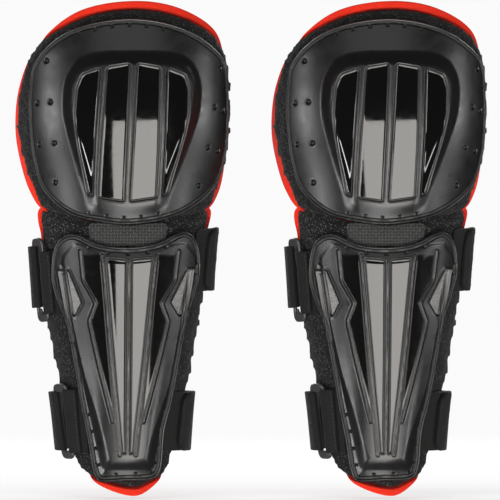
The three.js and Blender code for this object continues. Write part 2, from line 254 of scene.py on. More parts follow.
def rounded(corners, radius):
    """The same closed shape with its corners cut to curves."""
    points = np.array(corners, float)
    ends = []
    for other in (np.roll(points, 1, axis=0), np.roll(points, -1, axis=0)):
        step = other - points
        length = np.linalg.norm(step, axis=1, keepdims=True)
        ends.append(points + step * np.minimum(radius / length, 0.5))
    t = np.linspace(0, 1, 6)[:, None, None]
    curves = (1 - t) ** 2 * ends[0] + 2 * t * (1 - t) * points + t * t * ends[1]
    return np.swapaxes(curves, 0, 1).reshape(-1, 2)


def rounded_line(points, radius):
    """The same open line with its corners cut to curves."""
    return np.concatenate([[points[0]], rounded(points, radius)[6:-6], [points[-1]]])


def resampled(line, count):
    """The same line in even steps."""
    travelled = np.concatenate([[0], np.cumsum(np.linalg.norm(np.diff(line, axis=0), axis=1))])
    at = np.linspace(0, travelled[-1], count)
    return np.stack([np.interp(at, travelled, column) for column in line.T], -1)


def ripple(at, wavelength, seed):
    """Gentle irregular waves over a plane or a space, between about -1 and 1."""
    random = np.random.default_rng(seed)
    total = np.zeros(at.shape[:-1])
    for _ in range(7):
        direction = random.normal(size=at.shape[-1])
        direction /= np.linalg.norm(direction)
        length = wavelength * random.uniform(0.6, 1.7)
        total += np.sin(at @ direction * 2 * math.pi / length + random.uniform(0, 2 * math.pi))
    return total / 4


# ---- Places on and around the leg ----
def half_width(z):
    return through(LEG_HEIGHTS, LEG_HALF_WIDTHS, z)


def on_leg(angle, z, offset):
    """The point at an angle round the leg from its front, at a distance outside its surface."""
    x = LEG_CENTRE + (half_width(z) + offset) * np.sin(angle)
    y = -(through(LEG_HEIGHTS, LEG_DEPTHS, z) + offset) * np.cos(angle)
    return np.stack(np.broadcast_arrays(x, y, z), -1)


def angle_at(x, z, offset):
    return np.arcsin(np.clip((x - LEG_CENTRE) / (half_width(z) + offset), -0.99, 0.99))


def unrolled(x, z, offset):
    """Where a place that is seen from the front lies in the unrolled plane."""
    x, z = np.asarray(x, float), np.asarray(z, float)
    return np.stack([angle_at(x, z, offset) * (half_width(z) + UNROLLED_AT), z], -1)


def rolled(flat, offset):
    """The point outside the leg for a place in the unrolled plane."""
    z = flat[..., 1]
    return on_leg(flat[..., 0] / (half_width(z) + UNROLLED_AT), z, offset)


class Outline:
    """A smooth closed outline through the points of its four sides."""

    def __init__(self, sides):
        self.sides = sides
        self.points = np.array([point for side in sides for point in side], float)
        self.starts = np.cumsum([0] + [len(side) for side in sides])

    def along(self, side, share):
        place = self.starts[side] + (self.starts[side + 1] - self.starts[side]) * np.asarray(share, float)
        i = np.floor(place).astype(int)
        t = (place - i)[..., None]
        p0, p1, p2, p3 = (self.points[(i + k) % len(self.points)] for k in (-1, 0, 1, 2))
        chords = (p1 - p0, p2 - p1, p3 - p2)
        d0, d1, d2 = (np.linalg.norm(chord, axis=-1, keepdims=True) ** 0.5 for chord in chords)
        leave = ((p1 - p0) / d0 - (p2 - p0) / (d0 + d1) + (p2 - p1) / d1) * d1
        arrive = ((p2 - p1) / d1 - (p3 - p1) / (d1 + d2) + (p3 - p2) / d2) * d1
        start = (1 + 2 * t) * (1 - t) ** 2 * p1 + t * (1 - t) ** 2 * leave
        return start + t * t * (3 - 2 * t) * p2 - t * t * (1 - t) * arrive

    def inset(self, distances):
        """The outline drawn in across itself, by a distance at each of its points."""
        before, after = np.roll(self.points, 1, axis=0), np.roll(self.points, -1, axis=0)
        inwards = np.stack([before[:, 1] - after[:, 1], after[:, 0] - before[:, 0]], -1)
        inwards /= np.linalg.norm(inwards, axis=1, keepdims=True)
        moved = self.points + inwards * np.array(distances)[:, None]
        return Outline([moved[a:b].tolist() for a, b in zip(self.starts[:-1], self.starts[1:])])

    def unrolled(self, offset, per_side=70):
        """The closed outline as a line of points in the unrolled plane."""
        shares = np.arange(per_side) / per_side
        line = np.concatenate([self.along(side, shares) for side in range(4)])
        line = np.concatenate([line, line[:1]])
        return unrolled(line[:, 0], line[:, 1], offset)


def drawn_in(line, distance):
    """A closed line in the unrolled plane, moved inwards."""
    ring = line[:-1]
    along = np.roll(ring, -1, axis=0) - np.roll(ring, 1, axis=0)
    along /= np.linalg.norm(along, axis=1, keepdims=True)
    moved = ring + distance * np.stack([-along[:, 1], along[:, 0]], -1)
    return np.concatenate([moved, moved[:1]])


def crowded(count):
    """Shares from 0 to 1 that lie closer together at both ends."""
    even = np.linspace(0, 1, count + 1)
    return 0.45 * even + 0.55 * (1 - np.cos(np.pi * even)) / 2


class Grid:
    """A grid of places inside an outline, closer together along its edges."""

    def __init__(self, outline, offset, columns, rows):
        u, v = np.meshgrid(crowded(columns), crowded(rows))

        def flat(side, share):
            x, z = np.moveaxis(outline.along(side, share), -1, 0)
            return unrolled(x, z, offset)

        across, up = u[..., None], v[..., None]
        self.flat = flat(0, u) * (1 - up) + flat(2, 1 - u) * up
        self.flat = self.flat + flat(3, 1 - v) * (1 - across) + flat(1, v) * across
        self.flat -= flat(0, 0) * (1 - across) * (1 - up) + flat(1, 0) * across * (1 - up)
        self.flat -= flat(2, 0) * across * up + flat(3, 0) * (1 - across) * up
        self.z = self.flat[..., 1]
        self.x = on_leg(self.flat[..., 0] / (half_width(self.z) + UNROLLED_AT), self.z, offset)[..., 0]
        self.edge = outline.unrolled(offset)
        self.from_edge, self.round_edge = nearest(self.edge, self.flat)

    def mirrored(self, axis):
        """Distance from a leaning axis, and height: for mouldings that are the same on both sides."""
        return np.stack([np.abs(self.x - axis[0] - axis[1] * self.z), self.z], -1)


# ---- Meshes ----
def ring_of(grid):
    return np.concatenate([grid[0, :-1], grid[:-1, -1], grid[-1, :0:-1], grid[:0:-1, 0]])


def quads(grid):
    corners = grid[:-1, :-1], grid[:-1, 1:], grid[1:, 1:], grid[1:, :-1]
    return np.stack([corner.ravel() for corner in corners], -1)


class Shape:
    """Points and faces, with values that the material reads at each point."""

    def __init__(self):
        self.points, self.flats, self.faces, self.values, self.count = [], [], [], {}, 0

    def add(self, points, faces, flat=None, **values):
        """Flat is where the points lie in the unrolled plane, for the weaves."""
        points = np.asarray(points, float).reshape(-1, 3)
        self.flats.append(plan(points) if flat is None else flat)
        for face in faces:
            self.faces.append([int(i) + self.count for i in face])
        for name in {**self.values, **values}:
            held = self.values.setdefault(name, [np.zeros(self.count)] if self.count else [])
            held.append(np.broadcast_to(np.ravel(values.get(name, 0.0)), len(points)))
        self.points.append(points)
        self.count += len(points)

    def mesh(self, name, finish, smooth_below=50):
        points = np.concatenate(self.points)
        mesh = bpy.data.meshes.new(name)
        mesh.from_pydata((points * MM).tolist(), [], self.faces)
        for key, held in self.values.items():
            mesh.attributes.new(key, "FLOAT", "POINT").data.foreach_set("value", np.concatenate(held))
        flat = np.concatenate(self.flats)
        flat = np.column_stack([flat, np.zeros(len(flat))]).astype(np.float32)
        mesh.attributes.new("unrolled", "FLOAT_VECTOR", "POINT").data.foreach_set("vector", flat.ravel())
        tidy = bmesh.new()
        tidy.from_mesh(mesh)
        bmesh.ops.recalc_face_normals(tidy, faces=tidy.faces)
        tidy.to_mesh(mesh)
        tidy.free()
        mesh.shade_smooth()
        mesh.set_sharp_from_angle(angle=math.radians(smooth_below))
        mesh.materials.append(finish)
        return mesh


def plan(points):
    """Where points lie in the unrolled plane, going by their direction from the leg's axis."""
    x, y, z = np.moveaxis(points, -1, 0)
    width = half_width(z) + UNROLLED_AT
    depth = through(LEG_HEIGHTS, LEG_DEPTHS, z) + UNROLLED_AT
    return np.stack([np.arctan2((x - LEG_CENTRE) / width, -y / depth) * width, z], -1)


def thin_shell(shape, outer, inner, step=1, flat=None, **values):
    """A closed shell: a fine outer face, and an inner face with every step-th row and column."""
    coarse = inner[::step, ::step]
    rows, columns = outer.shape[:2]
    front = np.arange(rows * columns).reshape(rows, columns)
    back = np.arange(coarse.shape[0] * coarse.shape[1]).reshape(coarse.shape[:2]) + front.size
    faces = [*quads(front), *quads(back)[:, ::-1]]
    front_ring, back_ring = ring_of(front), ring_of(back)
    count = len(back_ring)
    for i in range(count):
        edge = [front_ring[(i * step + k) % len(front_ring)] for k in range(step, -1, -1)]
        faces.append([*edge, back_ring[i], back_ring[(i + 1) % count]])
    points = np.concatenate([outer.reshape(-1, 3), coarse.reshape(-1, 3)])
    padded = {k: np.concatenate([np.ravel(v), np.zeros(back.size)]) for k, v in values.items()}
    if flat is not None:
        flat = np.concatenate([flat.reshape(-1, 2), flat[::step, ::step].reshape(-1, 2)])
    shape.add(points, faces, flat, **padded)


def rounded_edge(distance, radius):
    """The share of a layer's thickness that is left near its rounded edge."""
    short = 1 - np.clip(distance / radius, 0, 1)
    return np.sqrt(np.maximum(1 - short * short, 0.002))


def add_tube(shape, path, outwards, radius):
    """A closed thread along a path, flattened a little against what it lies on."""
    sides = 6
    along = np.gradient(path, axis=0)
    along /= np.linalg.norm(along, axis=1, keepdims=True)
    side = np.cross(along, outwards)
    side /= np.linalg.norm(side, axis=1, keepdims=True)
    up = np.cross(side, along)
    turn = np.linspace(0, 2 * math.pi, sides, endpoint=False)
    rings = side[:, None] * np.cos(turn)[None, :, None] + 0.8 * up[:, None] * np.sin(turn)[None, :, None]
    points = path[:, None] + rings * np.asarray(radius)[:, None, None]
    index = np.arange(len(path) * sides).reshape(len(path), sides)
    closed = np.concatenate([index, index[:, :1]], axis=1)
    faces = [*quads(closed), index[0][::-1], index[-1]]
    shape.add(points, faces)


def add_stitches(shape, line, outwards, pitch, length, radius):
    """Stitches of thread in a row along a line of points."""
    travelled = np.concatenate([[0], np.cumsum(np.linalg.norm(np.diff(line, axis=0), axis=1))])
    count = max(1, round(travelled[-1] / pitch))
    for i in range(count):
        at = (i + 0.5) * travelled[-1] / count + length * np.linspace(-0.5, 0.5, 7)
        path = np.stack([np.interp(at, travelled, column) for column in line.T], -1)
        up = np.stack([np.interp(at, travelled, column) for column in outwards.T], -1)
        sunk = np.array([-1.6, -0.1, 0.6, 0.8, 0.6, -0.1, -1.6])[:, None]
        add_tube(shape, path + up * sunk * radius, up, radius * np.array([0.6, 1, 1, 1, 1, 1, 0.6]))


def outwards_at(flat):
    lifted = rolled(flat, 11) - rolled(flat, 10)
    return lifted / np.linalg.norm(lifted, axis=1, keepdims=True)


# ---- Placing pieces ----
def dress(name, mesh, body, stands_for=(), bend=None):
    """Puts a mesh on both guards. It rides on a body, or, when a bend is given, is fixed where it lies and
    rides on nothing.
    """
    pieces = []
    meshes = [mesh, mesh.copy() if bend else mesh]
    for (side, x), own in zip(GUARDS.items(), meshes):
        piece = bpy.data.objects.new(f"{side}_{name}", own)
        bpy.context.scene.collection.objects.link(piece)
        piece.location.x = x * MM
        if stands_for:
            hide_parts(*[f"{side}_{node}" for node in stands_for])
        if bend:
            other, *ends = bend
            start, end = ([(at[0] + x) * MM, at[1] * MM, at[2] * MM] for at in ends)
            other.format(side=side)
            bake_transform(piece)
            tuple(start)
            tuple(end)
        else:
            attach(piece, body.format(side=side))
        pieces.append(piece)
    return pieces


# ---- Materials ----
class Finish:
    """A procedural material, built node by node on the unrolled place of each point."""

    def __init__(self, name, **constants):
        self.material = bpy.data.materials.new(name)
        self.material.use_nodes = True
        self.tree = self.material.node_tree
        self.shader = self.tree.nodes["Principled BSDF"]
        for socket, value in constants.items():
            self.shader.inputs[socket.replace("_", " ")].default_value = value
        self.flat = self.value("unrolled", "Vector")

    def node(self, kind, output=0, inputs=None, **settings):
        node = self.tree.nodes.new(kind)
        for name, value in settings.items():
            setattr(node, name, value)
        for key, value in (inputs or {}).items():
            if isinstance(value, bpy.types.NodeSocket):
                self.tree.links.new(value, node.inputs[key])
            else:
                node.inputs[key].default_value = value
        return node.outputs[output]

    def value(self, name, output="Fac"):
        """A value kept at each point of the mesh."""
        return self.node("ShaderNodeAttribute", output, attribute_name=name)

    def maths(self, operation, a, b=0.0):
        return self.node("ShaderNodeMath", inputs={0: a, 1: b}, operation=operation)

    def noise(self, size, detail=3.0):
        """Soft noise with features of a size in millimetres."""
        inputs = {"Vector": self.flat, "Scale": 1 / size, "Detail": detail}
        return self.node("ShaderNodeTexNoise", 0, inputs)

    def cells(self, size, output="Distance", vector=None, randomness=1.0):
        inputs = {"Vector": vector or self.flat, "Scale": 1 / size, "Randomness": randomness}
        return self.node("ShaderNodeTexVoronoi", output, inputs)

    def waves(self, length, along_z, distortion=0.6):
        """Ribs of a length in millimetres, one after another along Z or round the leg."""
        scale = math.pi / 10 / length
        inputs = {"Vector": self.flat, "Scale": scale, "Distortion": distortion, "Detail Scale": 4.0}
        return self.node("ShaderNodeTexWave", 1, inputs, bands_direction="Y" if along_z else "X")

    def span(self, value, low, high, start=0.0, end=1.0):
        """A value's range, changed to another range."""
        return self.node("ShaderNodeMapRange", 0, {0: value, 1: low, 2: high, 3: start, 4: end})

    def step(self, value, low, high):
        """0 below low and 1 above high, with a smooth rise."""
        inputs = {0: value, 1: low, 2: high, 3: 0.0, 4: 1.0}
        return self.node("ShaderNodeMapRange", 0, inputs, interpolation_type="SMOOTHSTEP")

    def ridge(self, value, middle, reach):
        away = self.maths("ABSOLUTE", self.maths("SUBTRACT", value, middle))
        inputs = {0: away, 1: 0.0, 2: reach, 3: 1.0, 4: 0.0}
        return self.node("ShaderNodeMapRange", 0, inputs, interpolation_type="SMOOTHSTEP")

    def band(self, value, low, high, soft):
        rise, fall = self.step(value, low, low + soft), self.step(value, high - soft, high)
        return self.maths("SUBTRACT", rise, fall)

    def total(self, *shares):
        """The sum of values, each times a number."""
        summed = 0.0
        for value, times in shares:
            inputs = {0: value, 1: times, 2: summed}
            summed = self.node("ShaderNodeMath", 0, inputs, operation="MULTIPLY_ADD")
        return summed

    def blend(self, share, a, b):
        """A colour between two colours."""
        return self.node("ShaderNodeMix", 2, {0: share, 6: a, 7: b}, data_type="RGBA")

    def colour(self, socket):
        self.tree.links.new(socket, self.shader.inputs["Base Color"])

    def rough(self, socket):
        self.tree.links.new(socket, self.shader.inputs["Roughness"])

    def relief(self, height, depth, strength=1.0, below=None):
        """Fine relief of a depth in millimetres."""
        inputs = {"Height": height, "Distance": depth * MM, "Strength": strength}
        if below:
            inputs["Normal"] = below
        bump = self.node("ShaderNodeBump", 0, inputs)
        self.tree.links.new(bump, self.shader.inputs["Normal"])
        return bump


def grey(level, warmth=1.0):
    return (level * warmth, level, level / warmth, 1)


def shell_plastic():
    """Black moulded plastic: satin, polished in the panels, scuffed on its raised edges.

    The plate's mesh holds each point's distance to its rim, panels, lines, holes and notches, and
    the sharp edges of the moulding are drawn from those distances.
    """
    finish = Finish("shell_plastic", Specular_IOR_Level=0.5)
    rim, panel, line = finish.value("rim"), finish.value("panel"), finish.value("line")
    hole, notch, gloss = finish.value("hole"), finish.value("notch"), finish.value("gloss")
    channel = finish.band(rim, 1.7, 4.9, 0.6)
    slots = finish.maths("MULTIPLY", finish.ridge(notch, 0.0, 1.1), finish.band(rim, 4.0, 7.2, 0.7))
    pit = finish.maths("SUBTRACT", 1.0, finish.step(hole, 1.3, 2.0))
    moulding = finish.total(
        (finish.ridge(panel, -1.0, 0.8), 0.35), (finish.ridge(panel, 0.35, 0.6), -0.45),
        (finish.ridge(line, 0.0, 0.8), 0.4), (finish.ridge(line, 1.6, 0.7), -0.4),
        (finish.ridge(hole, 2.7, 0.8), 0.3), (pit, -1.0),
        (channel, -0.4), (slots, -0.9), (finish.ridge(rim, 0.9, 0.9), 0.25),
    )
    mottle, fine, marks = finish.noise(9), finish.noise(0.8, 2), finish.noise(3.0, 5)
    edges = finish.total((finish.ridge(panel, -1.0, 0.9), 0.5), (finish.ridge(line, 0.0, 0.9), 0.5),
                         (finish.ridge(rim, 0.9, 1.0), 0.8))
    scuffs = finish.maths("MULTIPLY", edges, finish.span(marks, 0.4, 0.65))
    body = finish.blend(mottle, grey(0.0035), grey(0.006))
    body = finish.blend(scuffs, body, grey(0.05))
    # Painted highlight: the raised strips on the shin plate's flanks are coloured light grey for the light
    # that their facets catch.
    body = finish.blend(finish.value("pale"), body, grey(0.2, 1.02))
    shade = finish.total((channel, 0.6), (slots, 1.0), (pit, 1.0), (finish.ridge(line, 1.6, 0.6), 0.5),
                         (finish.ridge(panel, 0.35, 0.6), 0.7))
    polished = finish.maths("MAXIMUM", finish.step(panel, 1.1, 1.5), gloss)
    body = finish.blend(finish.maths("MULTIPLY", polished, 0.8), body, grey(0.001))
    finish.colour(finish.blend(shade, body, grey(0.002)))
    satin = finish.total((finish.span(mottle, 0.3, 0.7, 0.27, 0.36), 1.0), (scuffs, 0.15), (shade, 0.35))
    clear = finish.span(finish.noise(5.0, 6), 0.3, 0.75, 0.04, 0.11)
    finish.rough(finish.node("ShaderNodeMix", 0, {0: polished, 2: satin, 3: clear}))
    grain = finish.maths("MULTIPLY", fine, finish.span(polished, 0, 1, 0.02, 0.001))
    finish.relief(finish.maths("ADD", moulding, grain), 1.0)
    return finish.material


def insert_plastic():
    """Light grey moulded ribs, darker in patches in the grooves between them."""
    finish = Finish("insert_plastic", Specular_IOR_Level=0.4)
    groove_darkening = finish.span(finish.noise(2.5, 4), 0.35, 0.7)
    groove_darkening = finish.maths("MULTIPLY", groove_darkening, finish.value("dark"))
    finish.colour(finish.blend(groove_darkening, grey(0.2, 1.02), grey(0.05)))
    finish.rough(finish.span(finish.noise(1.5), 0.3, 0.7, 0.35, 0.5))
    finish.relief(finish.noise(0.5), 0.04, 0.5)
    return finish.material


def speckled_mesh(name, size, share, bright):
    """Black knitted mesh with pale flecks where its loops catch the light."""
    finish = Finish(name, Sheen_Weight=0.06, Sheen_Roughness=0.5, Specular_IOR_Level=0.2)
    wander = finish.node("ShaderNodeTexNoise", "Color", {"Vector": finish.flat, "Scale": 0.4})
    bent = finish.node("ShaderNodeVectorMath", 0, {0: finish.flat, 1: wander}, operation="ADD")
    holes = finish.cells(size, vector=bent)
    chance = finish.cells(size, "Color", vector=bent)
    patches = finish.span(finish.noise(14), 0.3, 0.7, -0.08, 0.07)
    fleck = finish.span(finish.maths("ADD", chance, patches), 1 - share, 1 - share + 0.05)
    fleck = finish.maths("MULTIPLY", fleck, finish.span(holes, 0.5, 0.25))
    ground = finish.blend(finish.span(holes, 0.0, 0.55), grey(0.007), grey(0.002))
    finish.colour(finish.blend(fleck, ground, grey(bright)))
    finish.rough(finish.span(holes, 0, 0.5, 0.65, 0.95))
    loops = finish.relief(finish.span(holes, 0.0, 0.6, 1.0, 0.0), size * 0.4, 0.9)
    finish.relief(finish.noise(0.35, 2), 0.12, 0.5, below=loops)
    return finish.material


def woven(name, level, thread, warmth=1.0):
    """A plain weave: threads that pass over and under each other."""
    finish = Finish(name, Sheen_Weight=0.15, Sheen_Roughness=0.5, Specular_IOR_Level=0.3)
    warp, weft = finish.waves(thread, True, 0.3), finish.waves(thread, False, 0.3)
    over = finish.node("ShaderNodeTexChecker", "Fac", {"Vector": finish.flat, "Scale": 1 / thread})
    weave = finish.node("ShaderNodeMix", 0, {0: over, 2: warp, 3: weft})
    tone = finish.maths("MULTIPLY", weave, finish.span(finish.noise(6), 0.3, 0.7, 0.6, 1.0))
    finish.colour(finish.blend(tone, grey(level * 0.35, warmth), grey(level * 1.7, warmth)))
    finish.rough(finish.span(weave, 0, 1, 0.9, 0.65))
    finish.relief(weave, thread * 0.35, 0.9)
    return finish.material


def elastic_web():
    """Black elastic webbing: ribs along the strap, crossed by the rows of its knit."""
    finish = Finish("elastic_web", Sheen_Weight=0.05, Sheen_Roughness=0.5, Specular_IOR_Level=0.2)
    ribs, rows = finish.waves(1.3, True, 0.3), finish.waves(1.5, False, 0.3)
    knit = finish.maths("MULTIPLY", finish.span(ribs, 0, 1, 0.35, 1.0), finish.span(rows, 0, 1, 0.3, 1.0))
    fuzzy = finish.value("fuzzy")
    nap = finish.noise(0.7, 5)
    height = finish.node("ShaderNodeMix", 0, {0: fuzzy, 2: knit, 3: nap})
    wear = finish.span(finish.noise(11, 5), 0.35, 0.7, 0.6, 1.0)
    tone = finish.maths("MULTIPLY", height, wear)
    finish.colour(finish.blend(tone, grey(0.001), grey(0.008)))
    finish.rough(finish.span(height, 0, 1, 0.95, 0.6))
    finish.relief(height, 0.3, 0.8)
    return finish.material


def hook_tape():
    """Moulded hooks in close rows."""
    finish = Finish("hook_tape", Specular_IOR_Level=0.4)
    hooks = finish.cells(1.3, randomness=0.15)
    finish.colour(finish.blend(finish.span(hooks, 0, 0.5), grey(0.03), grey(0.004)))
    finish.rough(finish.span(hooks, 0, 0.5, 0.4, 0.85))
    finish.relief(finish.span(hooks, 0.1, 0.5, 1.0, 0.0), 0.8)
    return finish.material


def red_lining():
    """Orange-red brushed lining, laminated to thin foam."""
    finish = Finish("red_lining", Sheen_Weight=0.05, Sheen_Roughness=0.4, Specular_IOR_Level=0.1)
    cloud, nap = finish.noise(16, 3), finish.noise(0.9, 5)
    deep = finish.blend(cloud, (0.62, 0.018, 0.006, 1), (0.74, 0.030, 0.010, 1))
    finish.colour(finish.blend(finish.span(nap, 0.55, 0.3), deep, (0.42, 0.012, 0.006, 1)))
    finish.rough(finish.span(nap, 0.3, 0.7, 0.75, 0.95))
    knit = finish.relief(finish.cells(1.6, randomness=0.25), 0.25, 0.55)
    finish.relief(nap, 0.2, 0.6, below=knit)
    return finish.material


def loop_plastic():
    finish = Finish("loop_plastic", Specular_IOR_Level=0.5)
    cloud = finish.noise(4)
    finish.colour(finish.blend(cloud, grey(0.018), grey(0.04)))
    finish.rough(finish.span(cloud, 0.3, 0.7, 0.28, 0.42))
    finish.relief(finish.noise(0.6), 0.05, 0.5)
    return finish.material


def thread():
    finish = Finish("thread", Specular_IOR_Level=0.4)
    twist = finish.waves(0.6, False, 0.2)
    finish.colour(finish.blend(twist, grey(0.006), grey(0.035)))
    finish.rough(finish.span(twist, 0, 1, 0.75, 0.5))
    finish.relief(twist, 0.15)
    return finish.material


SHELL_PLASTIC, INSERT_PLASTIC = shell_plastic(), insert_plastic()
PAD_MESH = speckled_mesh("mesh_fabric", 0.95, 0.34, 0.075)
BRIDGE_MESH = speckled_mesh("stretch_mesh", 1.2, 0.36, 0.105)
PATCH_WEAVE = woven("woven_patch", 0.023, 2.6, 1.02)
RED_LINING, ELASTIC_WEB, HOOK_TAPE = red_lining(), elastic_web(), hook_tape()
LOOP_PLASTIC, THREAD = loop_plastic(), thread()


# ---- Moulded plates ----
def plate(grid, bulge, relief, sewn, **distances):
    """A plate's solid, with notches where it is sewn. Bulge moves both its faces, relief the outer one."""
    edge = grid.from_edge
    pitch = RIM_THREAD[0]
    notch = np.abs((grid.round_edge / pitch) % 1 - 0.5) * pitch + 9 * (1 - sewn)
    slots = (1 - smoothstep(notch, 0.5, 1.5)) * smoothstep(edge, 4, 5) * (1 - smoothstep(edge, 6.6, 7.6))
    rim = -1.1 * (1 - smoothstep(edge, 0, 1.1))
    rim = rim - 0.9 * (smoothstep(edge, 1.7, 2.7) - smoothstep(edge, 4.2, 5.2))
    outer = rolled(grid.flat, SHELL[1] + bulge + relief + rim - 0.6 * slots)
    inner = rolled(grid.flat, SHELL[0] + bulge)
    shape = Shape()
    far = np.full_like(edge, 9.0)
    held = {"rim": edge, "notch": notch, "hole": far, "line": far, "panel": -far, **distances}
    thin_shell(shape, outer, inner, 4, **{name: np.clip(value, -9, 9) for name, value in held.items()})
    return shape


def rim_stitches(outline, name, body):
    """The thread that sews a plate down, in the channel round its rim."""
    line = drawn_in(outline.unrolled(SHELL[1]), 3.4)
    shape = Shape()
    add_stitches(shape, rolled(line, SHELL[1] - 0.95), outwards_at(line), *RIM_THREAD)
    dress(name, shape.mesh(name, THREAD), body)


def knee_cup():
    outline = Outline(KNEE_SHELL_OUTLINE)
    grid = Grid(outline, SHELL[1], 300, 292)
    at = grid.mirrored(KNEE_AXIS)
    boss = inside(rounded(KNEE_BOSS, 13), at)
    height = BOSS_HEIGHT * (0.28 + 0.72 * smoothstep(grid.z, 14, 92))
    bulge = height * smoothstep(boss, -2.5, 12) * smoothstep(grid.from_edge, 3, 16)
    panel = np.maximum(*(inside(rounded(corners, 3), at) for corners in KNEE_PANELS))
    relief = -KNEE_PANEL_DEPTH * smoothstep(panel, -0.7, 1.9)
    hole = np.full_like(relief, np.inf)
    for x, z in KNEE_HOLES:
        hole = np.minimum(hole, np.linalg.norm(grid.flat - unrolled(x, z, SHELL[1]), axis=-1))
    relief -= 0.9 * (1 - smoothstep(hole, 1.2, 3.6)) + 0.9 * (1 - smoothstep(hole, 0.9, 2.2))
    sewn = smoothstep(grid.x, -52, -42) * (1 - smoothstep(grid.x, 32, 44))
    shape = plate(grid, bulge, relief, sewn, panel=panel, hole=hole)
    dress("knee_cup", shape.mesh("knee_cup", SHELL_PLASTIC), "{side}_knee", ["knee_shell"])
    rim_stitches(outline, "knee_cup_stitches", "{side}_knee")


def shin_plate():
    outline = Outline(SHIN_SHELL_OUTLINE)
    grid = Grid(outline, SHELL[1], 256, 336)
    at = grid.mirrored(SHIN_AXIS)
    inner, outer = inside(SHIN_FLANK_INNER, at), inside(SHIN_FLANK_OUTER, at)
    ramp = np.clip(outer, 0, None) / (np.clip(outer, 0, None) + np.clip(-inner, 0, None) + 1e-6)
    plateau = np.where(inner > 0, 1, smoothstep(ramp, -0.1, 1.1)) * smoothstep(grid.from_edge, 4, 8)
    plateau *= PLATEAU_HEIGHT * (0.25 + 0.75 * smoothstep(-grid.z, 35, 110))
    keel = KEEL["height"] * (1 - smoothstep(at[..., 0], KEEL["flat_to"], KEEL["half_width"]))
    bulge = keel * smoothstep(grid.from_edge, 4, 16)
    panel = inside(rounded(SHIN_PANEL, 1.5), at)
    relief = plateau - SHIN_PANEL_DEPTH * smoothstep(panel, -1.0, 2.0)
    beside_panel, _ = nearest(np.array(SHIN_PANEL_RIB), at)
    chevron, _ = nearest(rounded_line(SHIN_CHEVRON, 2), at)
    relief += CHEVRON_HEIGHT * ridge(chevron, 0, 2.6)
    pocket = np.full_like(relief, -np.inf)
    for corners in INSERT_TRIANGLES.values():
        pocket = np.maximum(pocket, inside(corners, np.stack([grid.x, grid.z], -1)))
    sunk = smoothstep(pocket, -2.0, -0.5)
    strip = np.maximum(*(inside(corners, np.stack([grid.x, grid.z], -1)) for corners in SHIN_STRIPS))
    relief += 1.0 * smoothstep(strip, -1.2, 0.6) * (1 - sunk)
    relief = relief * (1 - sunk) + 0.4 * ridge(pocket, -2.6, 1.4)
    relief -= HOLLOW_DEPTH * smoothstep(inside(SHIN_HOLLOW, at), -0.5, 1.5)
    sewn = np.where(grid.z > -40, 1 - smoothstep(at[..., 0], 34, 44), 1 - smoothstep(grid.z, -150, -130))
    beyond = np.interp(at[..., 1], *zip(*[(z, x) for x, z in reversed(SHIN_CHEVRON)]))
    gloss = smoothstep(beyond - at[..., 0], 2.2, 3.2) * smoothstep(grid.z, -168, -150)
    gloss = gloss * (1 - smoothstep(grid.z, -19, -15)) * (1 - smoothstep(panel, -4.6, -3.6))
    # Where the strips carry that painted highlight: fully at their upper part, fading out towards their
    # lower ends.
    pale = smoothstep(strip, -0.4, 0.6) * smoothstep(grid.z, -92, -40)
    line = np.minimum(np.minimum(chevron, beside_panel), np.abs(strip + 0.6))
    shape = plate(grid, bulge, relief, sewn, panel=panel, line=line, gloss=0.85 * gloss, pale=pale)
    dress("shin_plate", shape.mesh("shin_plate", SHELL_PLASTIC), "shins", ["shin_shell"])
    rim_stitches(outline, "shin_plate_stitches", "shins")


def ribbed_inserts():
    """Light triangles with fine moulded ribs across them."""
    for side, corners in INSERT_TRIANGLES.items():
        low, middle, top = sorted(corners, key=lambda corner: corner[1])
        z = np.linspace(low[1] + 0.4, top[1] - 0.4, 130)
        straight = np.interp(z, [low[1], top[1]], [low[0], top[0]])
        bent = np.interp(z, [low[1], middle[1], top[1]], [low[0], middle[0], top[0]])
        left, right = np.minimum(straight, bent), np.maximum(straight, bent)
        share = np.linspace(0, 1, 15)
        x = left[:, None] + (right - left)[:, None] * share
        z = np.repeat(z[:, None], len(share), axis=1)
        slant = z + 0.25 * (x - left[:, None]) * (1 if side == "outer" else -1)
        rib = 0.5 + 0.5 * np.cos(2 * math.pi * slant / 1.5)
        at = unrolled(x, z, INSERT[1])
        shape = Shape()
        thin_shell(shape, rolled(at, INSERT[1] + 0.5 * rib), rolled(at, INSERT[0] - 0.3), dark=1 - rib)
        name = f"ribbed_insert_{side}"
        dress(name, shape.mesh(name, INSERT_PLASTIC), "shins", [f"shin_insert_{side}"])


# ---- Pads and linings ----
def border_lift(pad_line, flat):
    """How far the lining stands up round the pad that it is sewn to."""
    return BORDER_LIFT * (1 - smoothstep(inside(pad_line[:-1], flat), -1.5, 3))


